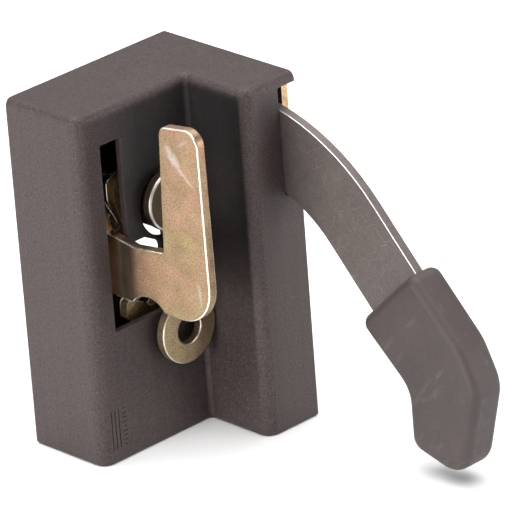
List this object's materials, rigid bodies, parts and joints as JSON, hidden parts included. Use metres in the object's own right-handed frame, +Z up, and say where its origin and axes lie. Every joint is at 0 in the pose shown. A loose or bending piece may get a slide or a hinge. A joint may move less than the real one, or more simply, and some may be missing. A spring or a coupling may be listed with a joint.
{
  "type": "gravity gate latch",
  "caption": "Surface-mounted gate latch: a hand lever beside an L-shaped cover lifts a hooked arm that drops again to trap the gate's striker.",
  "frame": {"origin": "middle of the flat face that screws to the gate post", "axes": "+X away from the post, the way the arm and the lever reach; +Y towards the latch's back face; +Z up in use"},
  "size_m": [0.1355, 0.0677, 0.1155],
  "materials": {
    "cover": "fine moulded grain, satin black",
    "zinc": "yellow-passivated zinc plating",
    "steel": "bright zinc plating",
    "nylon": "plain moulded nylon",
    "lever": "dark blued flat steel, lightly mottled",
    "grip": "dipped soft vinyl, satin black"
  },
  "bodies": {
    "housing": {"cover": "cover", "base_plate": "zinc", "frame_plate": "zinc", "stand_off": "zinc", "eye_plate": "zinc", "boss_rivet": "zinc", "frame_rivet_1": "steel", "frame_rivet_2": "steel", "frame_rivet_3": "steel", "cover_screw_1": "steel", "cover_screw_2": "steel", "cover_screw_3": "steel", "cover_screw_4": "steel", "return_spring": "steel", "lever_pivot": "steel", "lever_washer_rear": "steel", "lever_washer_front": "steel", "lever_clip": "steel", "lever_stop": "steel", "front_bush": "nylon", "rear_bush": "nylon", "stop_sleeve": "grip"},
    "arm": {"spindle": "steel", "latch_arm": "zinc", "lift_crank": "zinc", "crank_pin": "steel", "front_spacer": "steel", "spring_sleeve": "nylon", "rear_spacer": "steel", "spindle_clip": "steel"},
    "lever": {"lever": "lever", "grip": "grip", "lever_bush": "nylon"}
  },
  "joints": [
    {"name": "lever_lift", "type": "hinge", "parent": "housing", "child": "lever", "pos_m": [0.0235, 0.02805, 0.0305], "axis": [0, -1, 0], "range_deg": [0, 12]},
    {"name": "arm_lift", "type": "hinge", "parent": "housing", "child": "arm", "pos_m": [0.013, -0.01825, 0.0195], "axis": [0, -1, 0], "range_deg": [0, 27], "deforming": ["return_spring"]}
  ],
  "couplings": [
    {"joint": "arm_lift", "follows": "lever_lift", "ratio": 2.25}
  ]
}
